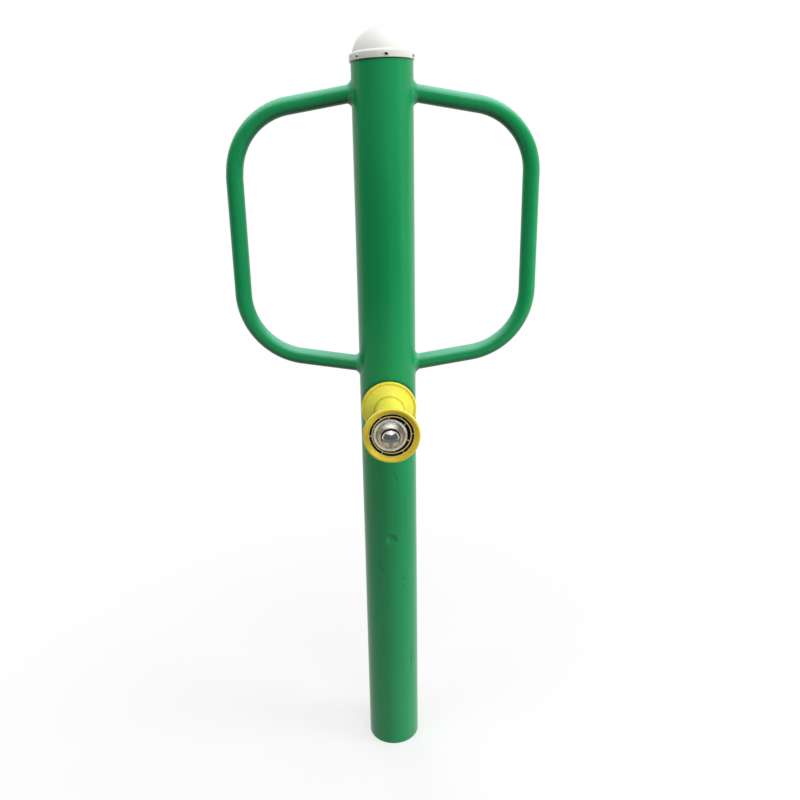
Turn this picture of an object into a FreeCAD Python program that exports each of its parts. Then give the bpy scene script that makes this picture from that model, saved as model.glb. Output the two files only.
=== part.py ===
import FreeCAD, Part
import math
import os
import re

import Sketcher
from FreeCAD import Placement, Rotation, Vector

# The post of an outdoor fitness station, with two loop handles and a roller on a cantilever axle.
# The origin is on the post's axis at the ground. +Z is up, the roller points to -Y, the handles to +X and -X

# Driving dimensions in millimetres and degrees, each with what it measures
DIMENSIONS = (
    ("post_diameter", 114, "outside of the post tube"),
    ("post_wall", 3, "wall of the post tube"),
    ("post_height", 1488, "length of the post above the ground"),
    ("tube_diameter", 32, "outside of the handle tube"),
    ("tube_wall", 2.5, "wall of the handle tube"),
    ("handle_reach", 280, "post axis to the middle of a grip"),
    ("bend_radius", 130, "bends of the handle, at the middle of the tube"),
    ("top_arm_drop", 56, "post's top to the upper arm, where it would cross the post axis"),
    ("top_arm_slope", 9.6, "fall of the upper arm, away from the post"),
    ("loop_drop", 529, "upper arm to the lower arm, where they would cross the post axis"),
    ("bottom_arm_slope", 9, "rise of the lower arm, away from the post"),
    ("root_gap", 0.3, "gap that a weld closes between a tube end and the post"),
    ("handle_weld_leg", 8.5, "leg of the weld beads round the handle tube"),
    ("axle_weld_leg", 4, "leg of the weld beads round the axle"),
    ("collar_wall", 2.35, "wall of the cap's collar"),
    ("collar_height", 11.5, "upright part of the collar"),
    ("collar_bevel", 4, "height of the bevel from the collar to the dome"),
    ("collar_overlap", 12.5, "part of the post's top that the collar covers"),
    ("cap_clearance", 0.15, "gap between post and collar"),
    ("dome_inset", 4.5, "outside of the collar to the widest part of the dome"),
    ("dome_centre_rise", 3.5, "collar's lower edge to the centre of the dome"),
    ("dome_wall", 2.5, "wall of the dome"),
    ("rivet_diameter", 4.8, "shank of a blind rivet"),
    ("rivet_head_diameter", 9, "head of a blind rivet"),
    ("rivet_head_height", 1.4, "head of a blind rivet"),
    ("rivet_tail_diameter", 7, "folded tail of a blind rivet"),
    ("rivet_tail_length", 3.5, "folded tail of a blind rivet"),
    ("rivet_eye_diameter", 3, "hole in the head, where the mandrel broke off"),
    ("rivet_eye_depth", 2.5, "depth of that hole"),
    ("rivet_hole_clearance", 0.1, "gap round a rivet's shank"),
    ("rivet_rise", 6, "collar's lower edge to the rivets"),
    ("rivet_azimuth", 8.6, "first rivet, from -Y towards +X"),
    ("rivet_count", 6, "rivets round the collar"),
    ("axle_drop", 67, "lower arm, at the post axis, to the axle"),
    ("axle_diameter", 26, "bar through the post"),
    ("axle_hole_clearance", 0.2, "gap round the bar in the post's walls"),
    ("axle_stub", 4, "bar behind the post"),
    ("axle_chamfer", 1, "edges of the bar's two ends"),
    ("thread_relief", 0.08, "step from the bearing seat down to the thread"),
    ("thread_clearance", 0.2, "gap between thread and nut"),
    ("thread_length", 11, "thread inside the nut"),
    ("weld_gap", 2, "weld bead of the axle to the rear rim of the roller"),
    ("roller_length", 160, "rim to rim"),
    ("rear_rim_diameter", 109, "rim next to the post"),
    ("front_rim_diameter", 104, "rim away from the post"),
    ("rim_thickness", 8.5, "rounded rim of a flange, along the axle"),
    ("rim_width", 4, "rounded rim of a flange, across the axle"),
    ("rim_round", 2.4, "rounding of a rim"),
    ("rim_step", 1, "step from the rim down to the cone"),
    ("cone_length", 22, "rim face to the waist"),
    ("waist_diameter", 57, "waist of the roller"),
    ("dish_depth", 5, "hollow of the end face, from the rim to the recess"),
    ("recess_diameter", 81, "recess that takes the insert ring"),
    ("recess_depth", 3, "straight wall of the recess"),
    ("bearing_depth", 19, "rim face to the bearing"),
    ("seat_clearance", 0.02, "gap of each seated ring"),
    ("seat_shoulder", 3, "height of the shoulder behind each bearing"),
    ("bearing_bore", 20, "ball bearing, inside"),
    ("bearing_diameter", 47, "ball bearing, outside"),
    ("bearing_width", 14, "ball bearing, along the axle"),
    ("bearing_chamfer", 0.8, "edges of the bearing rings"),
    ("land_set_back", 2.55, "ball circle to the land of each ring"),
    ("ball_diameter", 7.938, "ball"),
    ("ball_count", 8, "balls in a bearing"),
    ("groove_clearance", 0.15, "gap between a ball and the grooves of the rings"),
    ("cage_wall", 2.3, "ball cage, across"),
    ("cage_rim", 0.65, "metal of the cage beside each pocket"),
    ("cage_clearance", 0.1, "gap between a ball and its pocket"),
    ("seal_thickness", 0.8, "bearing seal"),
    ("seal_inset", 0.6, "face of the bearing to its seal"),
    ("seal_clearance", 0.4, "gap between seal and inner ring"),
    ("spacer_diameter", 26, "outside of both spacer sleeves"),
    ("spacer_clearance", 0.05, "gap between a sleeve and the axle"),
    ("spigot_length", 2.8, "part of the insert ring that holds the bearing in its seat"),
    ("hub_gap", 0.3, "hub of the insert ring to the wall of the recess"),
    ("cover_gap", 3, "front of the hub to the cover washer"),
    ("outer_groove_width", 3.9, "dark groove outside the thin ring"),
    ("insert_ring_wall", 2.3, "wall of the thin ring between the two dark grooves"),
    ("inner_groove_width", 5, "dark groove inside the thin ring"),
    ("insert_ring_set_back", 1, "outer edge of the recess to the front of the thin ring"),
    ("insert_ring_length", 3.8, "thin ring, along the axle"),
    ("insert_clearance", 0.1, "gap between insert ring and recess"),
    ("rib_thickness", 1.5, "ribs across the two grooves"),
    ("rib_overlap", 0.5, "part of a rib's end inside what it joins"),
    ("outer_rib_inset", 0.4, "front of the thin ring to the front of the outer ribs"),
    ("inner_rib_inset", 2, "front of the thin ring to the front of the inner ribs"),
    ("inner_rib_length", 4, "ribs of the inner groove, along the axle"),
    ("inner_rib_azimuth", 38, "first rib of the inner groove, from +X towards +Z"),
    ("outer_rib_azimuth", 2, "first rib of the outer groove, from +X towards +Z"),
    ("rib_count", 6, "ribs in each groove"),
    ("cover_diameter", 59, "bright cover washer"),
    ("cover_thickness", 1.5, "metal of the cover washer"),
    ("cover_inset", 6.5, "rim face to the edge of the cover"),
    ("cover_lip", 3.5, "flat lip round the cover"),
    ("cover_step", 1.4, "step from the lip up to the crown"),
    ("cover_rise", 6, "front of the cover's middle, beyond the rim face"),
    ("crown_radius", 14, "curve of the crown"),
    ("nut_diameter", 36, "dome nut"),
    ("nut_base", 3, "upright part of the nut"),
    ("nut_bevel", 0.8, "lower edge of the nut"),
    ("nut_dome", 15, "height of the nut's dome"),
    ("nut_blind_gap", 2, "end of the thread to the end of the nut's hole"),
)

# Places that follow from the driving dimensions
PLACES = (
    ("post_radius", "post_diameter / 2"),
    ("tube_radius", "tube_diameter / 2"),
    ("top_arm_height", "post_height - top_arm_drop"),
    ("bottom_arm_height", "top_arm_height - loop_drop"),
    ("axle_height", "bottom_arm_height - axle_drop"),
    ("collar_bottom", "post_height - collar_overlap"),
    ("collar_inside", "post_radius + cap_clearance"),
    ("collar_radius", "collar_inside + collar_wall"),
    ("dome_radius", "collar_radius - dome_inset"),
    ("collar_top", "collar_bottom + collar_height + collar_bevel"),
    ("dome_centre", "collar_bottom + dome_centre_rise"),
    ("dome_inside", "dome_radius - dome_wall"),
    ("rivet_height", "collar_bottom + rivet_rise"),
    ("top_corner", "top_arm_height - handle_reach * tan(top_arm_slope)"),
    ("bottom_corner", "bottom_arm_height + handle_reach * tan(bottom_arm_slope)"),
    ("grip_top", "top_corner - bend_radius * tan(45 - top_arm_slope / 2)"),
    ("grip_bottom", "bottom_corner + bend_radius * tan(45 - bottom_arm_slope / 2)"),
    ("rear_face", "post_radius + axle_weld_leg + weld_gap"),
    ("front_face", "rear_face + roller_length"),
    ("rear_bearing_back", "rear_face + bearing_depth"),
    ("rear_bearing_front", "rear_bearing_back + bearing_width"),
    ("front_bearing_front", "front_face - bearing_depth"),
    ("front_bearing_back", "front_bearing_front - bearing_width"),
    ("seat_radius", "bearing_bore / 2 - seat_clearance"),
    ("nut_seat", "front_face + cover_rise"),
    ("thread_radius", "seat_radius - thread_relief"),
    ("nut_hole_radius", "thread_radius + thread_clearance"),
    ("spacer_bore", "bearing_bore / 2 + spacer_clearance"),
    ("shoulder_radius", "bearing_diameter / 2 - seat_shoulder"),
    ("ball_circle", "(bearing_bore + bearing_diameter) / 2"),
    ("groove_radius", "ball_diameter / 2 + groove_clearance"),
    ("inner_land_radius", "ball_circle / 2 - land_set_back"),
    ("outer_land_radius", "ball_circle / 2 + land_set_back"),
    ("cage_width", "ball_diameter + 2 * (cage_clearance + cage_rim)"),
    ("thin_ring_outside", "recess_diameter / 2 - outer_groove_width"),
    ("thin_ring_inside", "thin_ring_outside - insert_ring_wall"),
    ("hub_radius", "thin_ring_inside - inner_groove_width"),
    ("recess_floor_radius", "hub_radius + hub_gap"),
    ("recess_floor_depth", "bearing_depth - spigot_length"),
    ("hub_depth", "cover_inset + cover_gap"),
    ("insert_ring_depth", "dish_depth + insert_ring_set_back"),
    ("outer_rib_front", "insert_ring_depth + outer_rib_inset"),
    ("outer_rib_length", "dish_depth + recess_depth - insert_clearance - outer_rib_front"),
    ("inner_rib_front", "insert_ring_depth + inner_rib_inset"),
)

document = FreeCAD.newDocument("fitness_post")
sheet_of = {}
parts = []


def fill_sheet(name, rows):
    """Writes one named value to each row of a new sheet."""
    sheet = document.addObject("Spreadsheet::Sheet", name)
    for number, (alias, content, *note) in enumerate(rows, 1):
        sheet.set(f"A{number}", alias)
        text = bound(content) if isinstance(content, str) else content
        sheet.set(f"B{number}", f"={text}" if isinstance(content, str) else str(content))
        sheet.set(f"C{number}", "".join(note))
        sheet.setAlias(f"B{number}", alias)
        sheet_of[alias] = name
    document.recompute()
    return sheet


def bound(formula):
    """Puts the sheet's name before each named value of a formula."""
    def full_name(found):
        word = found.group()
        return f"{sheet_of[word]}.{word}" if word in sheet_of else word

    return re.sub(r"[a-z]\w*", full_name, formula)


def amount(formula):
    """The number that a formula stands for now."""
    found = places.evalExpression(bound(formula))
    return float(getattr(found, "Value", found))


def bind(thing, **formulas):
    """Ties properties to formulas. A double underscore stands for the dot of a sub-property."""
    for name, formula in formulas.items():
        thing.setExpression(name.replace("__", "."), bound(formula))


def keep(thing, label):
    """Names a finished sub-part and puts it on the list of those to write."""
    thing.Label = label
    parts.append(thing)
    return thing


def new_body(label):
    body = document.addObject("PartDesign::Body", label)
    body.AllowCompound = True
    return keep(body, label)


def origin_item(body, role):
    """One of the planes or axes of the body's own origin."""
    return (next(item for item in body.Origin.OriginFeatures if item.Role == role), [""])


def new_sketch(body, plane):
    """A sketch on one of the body's own origin planes."""
    sketch = body.newObject("Sketcher::SketchObject", "Sketch")
    sketch.AttachmentSupport = origin_item(body, plane)
    sketch.MapMode = "FlatFace"
    return sketch


def constrain(sketch, kind, *where, formula=None):
    """Adds a constraint, and ties its size to a formula where it has one."""
    if formula is None:
        sketch.addConstraint(Sketcher.Constraint(kind, *where))
        return
    index = sketch.addConstraint(Sketcher.Constraint(kind, *where, amount(formula)))
    sketch.setExpression(f"Constraints[{index}]", bound(formula))


def fix_point(sketch, side, end, across, along):
    """Fixes one end of a side at two formulas. A zero puts it on the sketch's own axis."""
    for kind, axis, formula in (("DistanceX", -2, across), ("DistanceY", -1, along)):
        if formula == "0":
            constrain(sketch, "PointOnObject", side, end, axis)
        else:
            constrain(sketch, kind, -1, 1, side, end, formula=formula)


def arc_between(begin, end, radius, turn):
    """The short arc from begin to end that turns left or right, and its first and last end."""
    half = (end - begin) / 2
    left = Vector(-half.y, half.x, 0).normalize()
    side = 1 if turn == "left" else -1
    centre = begin + half + left * side * math.sqrt(radius**2 - half.Length**2)
    first, last = (begin, end) if turn == "left" else (end, begin)
    angles = [math.atan2((point - centre).y, (point - centre).x) for point in (first, last)]
    if angles[1] < angles[0]:
        angles[1] += 2 * math.pi
    return Part.ArcOfCircle(Part.Circle(centre, Vector(0, 0, 1), radius), *angles)


def draw_outline(sketch, corners):
    """A closed outline. A corner (x, y) ends a straight side, and (x, y, radius, turn) ends an arc."""
    points = [Vector(amount(corner[0]), amount(corner[1]), 0) for corner in corners]
    sides = []
    for number, corner in enumerate(corners):
        begin, end = points[number - 1], points[number]
        if len(corner) == 2:
            sides.append((sketch.addGeometry(Part.LineSegment(begin, end)), 1, 2))
            continue
        arc = arc_between(begin, end, amount(corner[2]), corner[3])
        ends = (1, 2) if corner[3] == "left" else (2, 1)
        sides.append((sketch.addGeometry(arc), *ends))
    for number, (side, _, end) in enumerate(sides):
        following, start, _ = sides[(number + 1) % len(sides)]
        constrain(sketch, "Coincident", side, end, following, start)
        fix_point(sketch, side, end, *corners[number][:2])
        if len(corners[number]) == 4:
            constrain(sketch, "Radius", side, formula=corners[number][2])


def draw_circle(sketch, across, along, radius):
    circle = Part.Circle(Vector(amount(across), amount(along), 0), Vector(0, 0, 1), amount(radius))
    side = sketch.addGeometry(circle)
    fix_point(sketch, side, 3, across, along)
    constrain(sketch, "Radius", side, formula=radius)


def turn_outline(body, corners):
    """Turns a half outline, of radius and height, round the body's own Z axis."""
    sketch = new_sketch(body, "XZ_Plane")
    draw_outline(sketch, corners)
    turned = body.newObject("PartDesign::Revolution", "Turning")
    turned.Profile = sketch
    turned.ReferenceAxis = (sketch, ["V_Axis"])
    turned.Angle = 360
    return turned


def drill(body, across, along, radius, both_ways=False):
    """Drills through the body's XZ plane, towards its own -Y or both ways."""
    sketch = new_sketch(body, "XZ_Plane")
    draw_circle(sketch, across, along, radius)
    document.recompute()
    hole = body.newObject("PartDesign::Pocket", "Hole")
    hole.Profile = sketch
    hole.Type = "ThroughAll"
    if both_ways:
        hole.SideType = "Symmetric"
    else:
        hole.Reversed = True
    return hole


def repeat_round(body, feature, count, role="Z_Axis"):
    """Repeats a feature evenly round one of the body's own axes."""
    pattern = body.newObject("PartDesign::PolarPattern", "Pattern")
    pattern.Originals = [feature]
    pattern.Axis = origin_item(body, role)
    pattern.Angle = 360
    bind(pattern, Occurrences=count)
    body.Tip = pattern
    return pattern


def put_on_axle(body, forward, outward=1):
    """Lays a turned piece along the axle. Its own Z axis then points to the front, or to the back."""
    body.Placement = Placement(Vector(0, 0, 0), Rotation(Vector(1, 0, 0), 90 * outward))
    bind(body, Placement__Base__y=f"-({forward})", Placement__Base__z="axle_height")


def make_post():
    """A round tube with a hole for the axle through both walls, and the rivet holes near its top."""
    body = plain_ring("post", "post_radius - post_wall", "post_radius", "0", "post_height")
    drill(body, "0", "axle_height", "axle_diameter / 2 + axle_hole_clearance", both_ways=True)
    hole = drill_rivet_hole(body)
    repeat_round(body, hole, "rivet_count")


def drill_rivet_hole(body):
    """One rivet hole at the first rivet's azimuth, through the front wall only."""
    hole = drill(body, "0", "rivet_height", "rivet_diameter / 2 + rivet_hole_clearance")
    sketch = hole.Profile[0]
    sketch.AttachmentOffset = Placement(Vector(0, 0, 0), Rotation(Vector(0, 1, 0), 1))
    bind(sketch, AttachmentOffset__Rotation__Angle="rivet_azimuth")
    return hole


def make_handle(label, side):
    """A tube bent to a loop: upper arm, grip and lower arm, cut to a saddle at the post."""
    body = new_body(label)
    path = new_sketch(body, "XZ_Plane")
    draw_handle_path(path, side)
    section = new_sketch(body, "YZ_Plane")
    section.AttachmentOffset = Placement(Vector(0, 0, 0), Rotation(Vector(side, 0, 0), 1))
    bind(section, AttachmentOffset__Base__y="top_arm_height")
    bind(section, AttachmentOffset__Rotation__Angle="top_arm_slope")
    draw_circle(section, "0", "0", "tube_radius")
    draw_circle(section, "0", "0", "tube_radius - tube_wall")
    document.recompute()
    tube = body.newObject("PartDesign::AdditivePipe", "Tube")
    tube.Profile = section
    tube.Spine = (path, [f"Edge{number}" for number in range(1, 6)])
    document.recompute()
    saddle = new_sketch(body, "XY_Plane")
    draw_circle(saddle, "0", "0", "post_radius + root_gap")
    cut = body.newObject("PartDesign::Pocket", "Saddle")
    cut.Profile = saddle
    cut.Type = "ThroughAll"
    cut.SideType = "Symmetric"


def draw_handle_path(path, side):
    """Upper arm, bend, grip, bend and lower arm, each tangent to the next."""
    arms = []
    for height, slope, grip_end, down in (
        ("top_arm_height", "top_arm_slope", "grip_top", -1),
        ("bottom_arm_height", "bottom_arm_slope", "grip_bottom", 1),
    ):
        fall = math.radians(amount(slope))
        set_back = amount("bend_radius") * math.tan((math.pi / 2 - fall) / 2)
        run = amount("handle_reach") - set_back * math.cos(fall)
        rise = down * (amount("handle_reach") * math.tan(fall) - set_back * math.sin(fall))
        root = Vector(0, amount(height), 0)
        grip = Vector(side * amount("handle_reach"), amount(grip_end), 0)
        arms.append((root, root + Vector(side * run, rise, 0), grip))
    (top_root, top_end, grip_top), (low_root, low_end, grip_low) = arms
    turn, first, last = ("right", 2, 1) if side > 0 else ("left", 1, 2)
    path.addGeometry(Part.LineSegment(top_root, top_end))
    path.addGeometry(arc_between(top_end, grip_top, amount("bend_radius"), turn))
    path.addGeometry(Part.LineSegment(grip_top, grip_low))
    path.addGeometry(arc_between(grip_low, low_end, amount("bend_radius"), turn))
    path.addGeometry(Part.LineSegment(low_end, low_root))
    for joint in ((0, 2, 1, first), (1, last, 2, 1), (2, 2, 3, first), (3, last, 4, 1)):
        constrain(path, "Tangent", *joint)
    reach = "handle_reach" if side > 0 else "-handle_reach"
    fix_point(path, 0, 1, "0", "top_arm_height")
    fix_point(path, 4, 2, "0", "bottom_arm_height")
    fix_point(path, 2, 1, reach, "grip_top")
    constrain(path, "Vertical", 2)
    constrain(path, "DistanceY", -1, 1, 2, 2, formula="grip_bottom")
    constrain(path, "Radius", 1, formula="bend_radius")
    constrain(path, "Radius", 3, formula="bend_radius")


def make_cylinder(radius, length):
    cylinder = document.addObject("Part::Cylinder", "Cylinder")
    bind(cylinder, Radius=radius, Height=length)
    return cylinder


def make_bead(rod_radius, leg, height, axis, angle):
    """A fillet weld round a rod that leaves the post. The rod starts on the post's axis and points along
    the post, turned by an angle about an axis."""
    sleeve = make_cylinder(f"{rod_radius} + {leg}", "post_diameter")
    rod = make_cylinder(rod_radius, "post_diameter * 2")
    for cylinder in (sleeve, rod):
        cylinder.Placement = Placement(Vector(0, 0, 0), Rotation(axis, 1))
        bind(cylinder, Placement__Base__z=height, Placement__Rotation__Angle=angle)
    skin = make_cylinder(f"post_radius + {leg}", "post_height")
    core = make_cylinder("post_radius", "post_height")
    ring = document.addObject("Part::Common", "Ring")
    ring.Base, ring.Tool = skin, sleeve
    shell = document.addObject("Part::Cut", "Shell")
    shell.Base, shell.Tool = ring, core
    collar = document.addObject("Part::Cut", "Collar")
    collar.Base, collar.Tool = shell, rod
    document.recompute()
    bead = document.addObject("Part::Chamfer", "Bead")
    bead.Base = collar
    bevel = 0.9 * amount(leg)
    bead.Edges = [(outer_edge(collar.Shape, amount(f"post_radius + {leg}")), bevel, bevel)]
    return bead


def outer_edge(shape, radius):
    """The number of the longest edge at a radius from the post's axis. It is the outer corner of a bead."""
    found = []
    for number, edge in enumerate(shape.Edges, 1):
        point = edge.valueAt((edge.FirstParameter + edge.LastParameter) / 2)
        if abs(math.hypot(point.x, point.y) - radius) < 0.01:
            found.append((edge.Length, number))
    return max(found)[1]


def make_handle_welds(label, side):
    """The two beads of one handle, as a group of separate solids."""
    axis = Vector(0, side, 0)
    upper = make_bead("tube_radius", "handle_weld_leg", "top_arm_height", axis, "90 + top_arm_slope")
    lower = make_bead("tube_radius", "handle_weld_leg", "bottom_arm_height", axis, "90 - bottom_arm_slope")
    group = document.addObject("Part::Compound", label)
    group.Links = [upper, lower]
    keep(group, label)


def make_axle_weld(label, side):
    """The bead round the axle at the front of the post, or at its back."""
    keep(make_bead("axle_diameter / 2", "axle_weld_leg", "axle_height", Vector(side, 0, 0), "90"), label)


def make_cap():
    """Dome and collar in one moulding. The post's top edge meets the step inside."""
    body = new_body("dome_cap")
    turn_outline(body, (
        ("collar_inside", "collar_bottom"),
        ("collar_radius", "collar_bottom"),
        ("collar_radius", "collar_bottom + collar_height"),
        ("sqrt(dome_radius ^ 2 - (collar_top - dome_centre) ^ 2)", "collar_top"),
        ("0", "dome_centre + dome_radius", "dome_radius", "left"),
        ("0", "dome_centre + dome_inside"),
        ("sqrt(dome_inside ^ 2 - (post_height - dome_centre) ^ 2)", "post_height", "dome_inside", "right"),
        ("collar_inside", "post_height"),
    ))
    hole = drill_rivet_hole(body)
    repeat_round(body, hole, "rivet_count")


def make_rivets():
    """Blind rivets through collar and post. The first lies along the body's own Z axis, out of the post."""
    body = new_body("cap_rivets")
    inside = "(post_radius - post_wall)"
    shank, head, tail = "rivet_diameter / 2", "rivet_head_diameter / 2", "rivet_tail_diameter / 2"
    eye_floor = "collar_radius + rivet_head_height - rivet_eye_depth"
    rivet = turn_outline(body, (
        ("0", f"{inside} - rivet_tail_length"),
        (tail, f"{inside} - rivet_tail_length / 2"),
        (shank, inside),
        (shank, "collar_radius"),
        (head, "collar_radius"),
        ("rivet_eye_diameter / 2", "collar_radius + rivet_head_height", "rivet_head_diameter", "left"),
        ("rivet_eye_diameter / 2", eye_floor),
        ("0", eye_floor),
    ))
    document.recompute()
    repeat_round(body, rivet, "rivet_count", "Y_Axis")
    turned = Rotation(Vector(0, 0, 1), amount("rivet_azimuth")) * Rotation(Vector(1, 0, 0), 90)
    body.Placement = Placement(Vector(0, 0, 0), turned)
    bind(body, Placement__Base__z="rivet_height")


def make_axle():
    """A turned bar through the post, with a shoulder behind the rear bearing and a thread at the front."""
    body = new_body("axle")
    bar = "axle_diameter / 2"
    back, front = "-(post_radius + axle_stub)", "nut_seat + thread_length"
    turn_outline(body, (
        ("0", back),
        (f"{bar} - axle_chamfer", back),
        (bar, f"{back} + axle_chamfer"),
        (bar, "rear_bearing_back"),
        ("seat_radius", "rear_bearing_back"),
        ("seat_radius", "front_bearing_front"),
        ("thread_radius", "front_bearing_front + axle_chamfer"),
        ("thread_radius", f"{front} - axle_chamfer"),
        ("thread_radius - axle_chamfer", front),
        ("0", front),
    ))
    put_on_axle(body, "0")


def flange_end(face, rim, inward, turn):
    """One end of the roller, from the waist over the rim to the bearing's bore. Depths are measured from the
    face of the rim, with the sign that points inward to the roller's middle."""
    def at(depth):
        return f"{face} {inward} ({depth})"

    shoulder_depth = "bearing_depth + bearing_width"
    return [
        ("waist_diameter / 2", at("cone_length")),
        (f"{rim} / 2 - rim_width", at("rim_thickness - rim_step")),
        (f"{rim} / 2 - rim_width", at("rim_thickness")),
        (f"{rim} / 2 - rim_round", at("rim_thickness")),
        (f"{rim} / 2", at("rim_thickness - rim_round"), "rim_round", turn),
        (f"{rim} / 2", at("rim_round")),
        (f"{rim} / 2 - rim_round", at("0"), "rim_round", turn),
        (f"{rim} / 2 - rim_width", at("0")),
        ("recess_diameter / 2", at("dish_depth")),
        ("recess_diameter / 2", at("dish_depth + recess_depth")),
        ("recess_floor_radius", at("recess_floor_depth")),
        ("bearing_diameter / 2 + seat_clearance", at("recess_floor_depth")),
        ("bearing_diameter / 2 + seat_clearance", at(shoulder_depth)),
        ("shoulder_radius", at(shoulder_depth)),
    ]


def make_spool():
    """The moulded roller: two flanges with hollow faces, a straight waist and two bearing seats."""
    body = new_body("roller_spool")
    front = flange_end("front_face", "front_rim_diameter", "-", "left")
    rear = flange_end("rear_face", "rear_rim_diameter", "+", "right")
    turn_outline(body, front + backwards(rear))
    put_on_axle(body, "0")


def backwards(corners):
    """The same corners in the other order. An arc's radius moves on to the corner that then ends the arc."""
    points = [corner[:2] for corner in corners]
    curves = [corner[2:] for corner in corners]
    other = {"left": "right", "right": "left"}
    back = [(*points[-1],)]
    for point, curve in zip(reversed(points[:-1]), reversed(curves[1:])):
        back.append((*point, curve[0], other[curve[1]]) if curve else point)
    return back


def make_insert(label, face, outward):
    """A moulded ring in a recess of the roller. Its hub holds the bearing in, and ribs cross the grooves
    beside its thin ring. Its own Z axis points out of the roller, from the plane of the rim."""
    body = new_body(label)
    spigot = "bearing_diameter / 2 - insert_clearance"
    turn_outline(body, (
        ("shoulder_radius", "-bearing_depth"),
        (spigot, "-bearing_depth"),
        (spigot, "-recess_floor_depth"),
        ("hub_radius", "-recess_floor_depth"),
        ("hub_radius", "-hub_depth"),
        ("shoulder_radius", "-hub_depth"),
    ))
    back = "-insert_ring_depth - insert_ring_length"
    turn_outline(body, (
        ("thin_ring_inside", back),
        ("thin_ring_outside", back),
        ("thin_ring_outside", "-insert_ring_depth"),
        ("thin_ring_inside", "-insert_ring_depth"),
    ))
    add_ribs(body, "inner", "hub_radius - rib_overlap", "thin_ring_inside + rib_overlap")
    add_ribs(body, "outer", "thin_ring_outside - rib_overlap", "recess_diameter / 2 - insert_clearance")
    put_on_axle(body, face, outward)


def add_ribs(body, groove, inside, outside):
    """Ribs across the inner or the outer groove, a little behind the front of the thin ring."""
    sketch = new_sketch(body, "XY_Plane")
    half = "rib_thickness / 2"
    draw_outline(sketch, ((inside, f"-{half}"), (outside, f"-{half}"), (outside, half), (inside, half)))
    sketch.AttachmentOffset = Placement(Vector(0, 0, 0), Rotation(Vector(0, 0, 1), 1))
    bind(sketch, AttachmentOffset__Base__z=f"-{groove}_rib_front")
    bind(sketch, AttachmentOffset__Rotation__Angle=f"{groove}_rib_azimuth")
    document.recompute()
    rib = body.newObject("PartDesign::Pad", "Rib")
    rib.Profile = sketch
    rib.Reversed = True
    bind(rib, Length=f"{groove}_rib_length")
    document.recompute()
    repeat_round(body, rib, "rib_count")


def ring_with_groove(label, plain, land, groove_turn):
    """A bearing ring with a ball groove on its land side. Its own origin is the middle of the bearing."""
    body = new_body(label)
    half = "bearing_width / 2"
    mouth = f"sqrt(groove_radius ^ 2 - ({land} - ball_circle / 2) ^ 2)"
    bevel = "bearing_chamfer" if groove_turn == "right" else "(-bearing_chamfer)"
    corners = [
        (plain, f"-{half} + bearing_chamfer"),
        (f"{plain} + {bevel}", f"-{half}"),
        (land, f"-{half}"),
        (land, f"-{mouth}"),
        (land, mouth, "groove_radius", groove_turn),
        (land, half),
        (f"{plain} + {bevel}", half),
        (plain, f"{half} - bearing_chamfer"),
    ]
    turn_outline(body, corners)
    return body


def plain_ring(label, inside, outside, low, high):
    """A ring of rectangular section."""
    body = new_body(label)
    turn_outline(body, ((inside, low), (outside, low), (outside, high), (inside, high)))
    return body


def make_cage(label):
    """The ball cage, with a round pocket through it for each ball."""
    body = new_body(label)
    inside = "(ball_circle - cage_wall) / 2"
    outside = "(ball_circle + cage_wall) / 2"
    low, high = "-cage_width / 2", "cage_width / 2"
    turn_outline(body, ((inside, low), (outside, low), (outside, high), (inside, high)))
    pocket = drill(body, "0", "0", "ball_diameter / 2 + cage_clearance")
    repeat_round(body, pocket, "ball_count")
    return body


def make_balls(label):
    """The balls of one bearing, as a group of separate solids."""
    body = new_body(label)
    ball = body.newObject("PartDesign::AdditiveSphere", "Ball")
    ball.AttachmentSupport = origin_item(body, "XY_Plane")
    ball.MapMode = "FlatFace"
    bind(ball, Radius="ball_diameter / 2", AttachmentOffset__Base__y="-ball_circle / 2")
    document.recompute()
    repeat_round(body, ball, "ball_count")
    return body


def make_seals(label):
    """The two seals of one bearing, held by its outer ring."""
    body = new_body(label)
    inside = "inner_land_radius + seal_clearance"
    outside = "outer_land_radius - seat_clearance"
    face, back = "bearing_width / 2 - seal_inset", "bearing_width / 2 - seal_inset - seal_thickness"
    for low, high in ((back, face), (f"-({face})", f"-({back})")):
        turn_outline(body, ((inside, low), (outside, low), (outside, high), (inside, high)))
        document.recompute()
    return body


def make_bearing(prefix, middle):
    """One deep groove ball bearing, in its separate pieces."""
    pieces = (
        ring_with_groove(f"{prefix}_inner_ring", "bearing_bore / 2", "inner_land_radius", "right"),
        ring_with_groove(f"{prefix}_outer_ring", "bearing_diameter / 2", "outer_land_radius", "left"),
        make_balls(f"{prefix}_balls"),
        make_cage(f"{prefix}_cage"),
        make_seals(f"{prefix}_seals"),
    )
    for piece in pieces:
        put_on_axle(piece, middle)


def make_sleeve(label, back, front):
    """A spacer sleeve on the axle."""
    put_on_axle(plain_ring(label, "spacer_bore", "spacer_diameter / 2", back, front), "0")


def make_cover():
    """The bright dished washer: a flat lip, a small step and a crown that rises to the nut."""
    body = new_body("cover_washer")
    edge = "front_face - cover_inset"
    lip_front = f"({edge} + cover_thickness)"
    step_radius = "(cover_diameter / 2 - cover_lip)"
    turn_outline(body, (
        ("spacer_bore", "nut_seat - cover_thickness"),
        ("nut_diameter / 2 - cover_thickness", "nut_seat - cover_thickness"),
        (f"{step_radius} - cover_thickness", f"{edge} + cover_step", "crown_radius", "right"),
        (f"{step_radius} - cover_thickness", edge),
        ("cover_diameter / 2", edge),
        ("cover_diameter / 2", lip_front),
        (step_radius, lip_front),
        (step_radius, f"{lip_front} + cover_step"),
        ("nut_diameter / 2", "nut_seat", "crown_radius", "left"),
        ("spacer_bore", "nut_seat"),
    ))
    put_on_axle(body, "0")


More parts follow.
